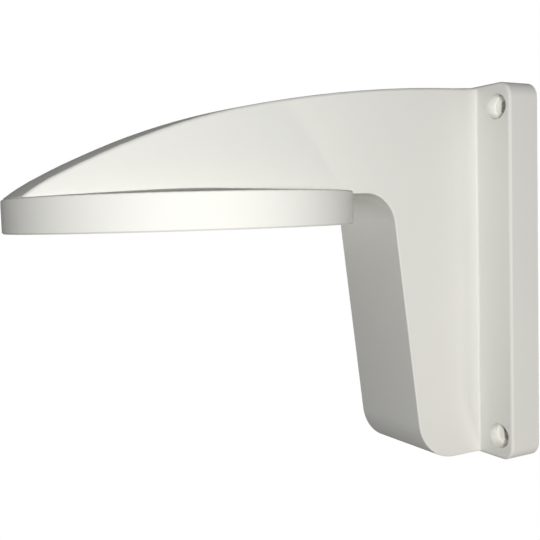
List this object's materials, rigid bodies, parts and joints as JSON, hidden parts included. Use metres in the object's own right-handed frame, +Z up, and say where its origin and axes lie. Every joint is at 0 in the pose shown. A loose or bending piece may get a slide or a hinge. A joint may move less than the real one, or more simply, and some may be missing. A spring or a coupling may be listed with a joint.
{
  "type": "camera wall bracket",
  "caption": "Off-white cast wall bracket for a small dome camera: screwed wall plate, hollow arched arm with a leaning leg, and a round rimmed disc the camera mounts under.",
  "frame": {"origin": "centre of the wall screw pattern, in the plane of the plate's back face", "axes": "+Y into the wall, so the arm reaches out along -Y; +Z up; +X to the right for someone facing the wall"},
  "size_m": [0.122, 0.197, 0.1496],
  "materials": {
    "powder_coat": "satin powder coat, very fine texture"
  },
  "bodies": {
    "root": {"bracket": "powder_coat"}
  },
  "joints": []
}
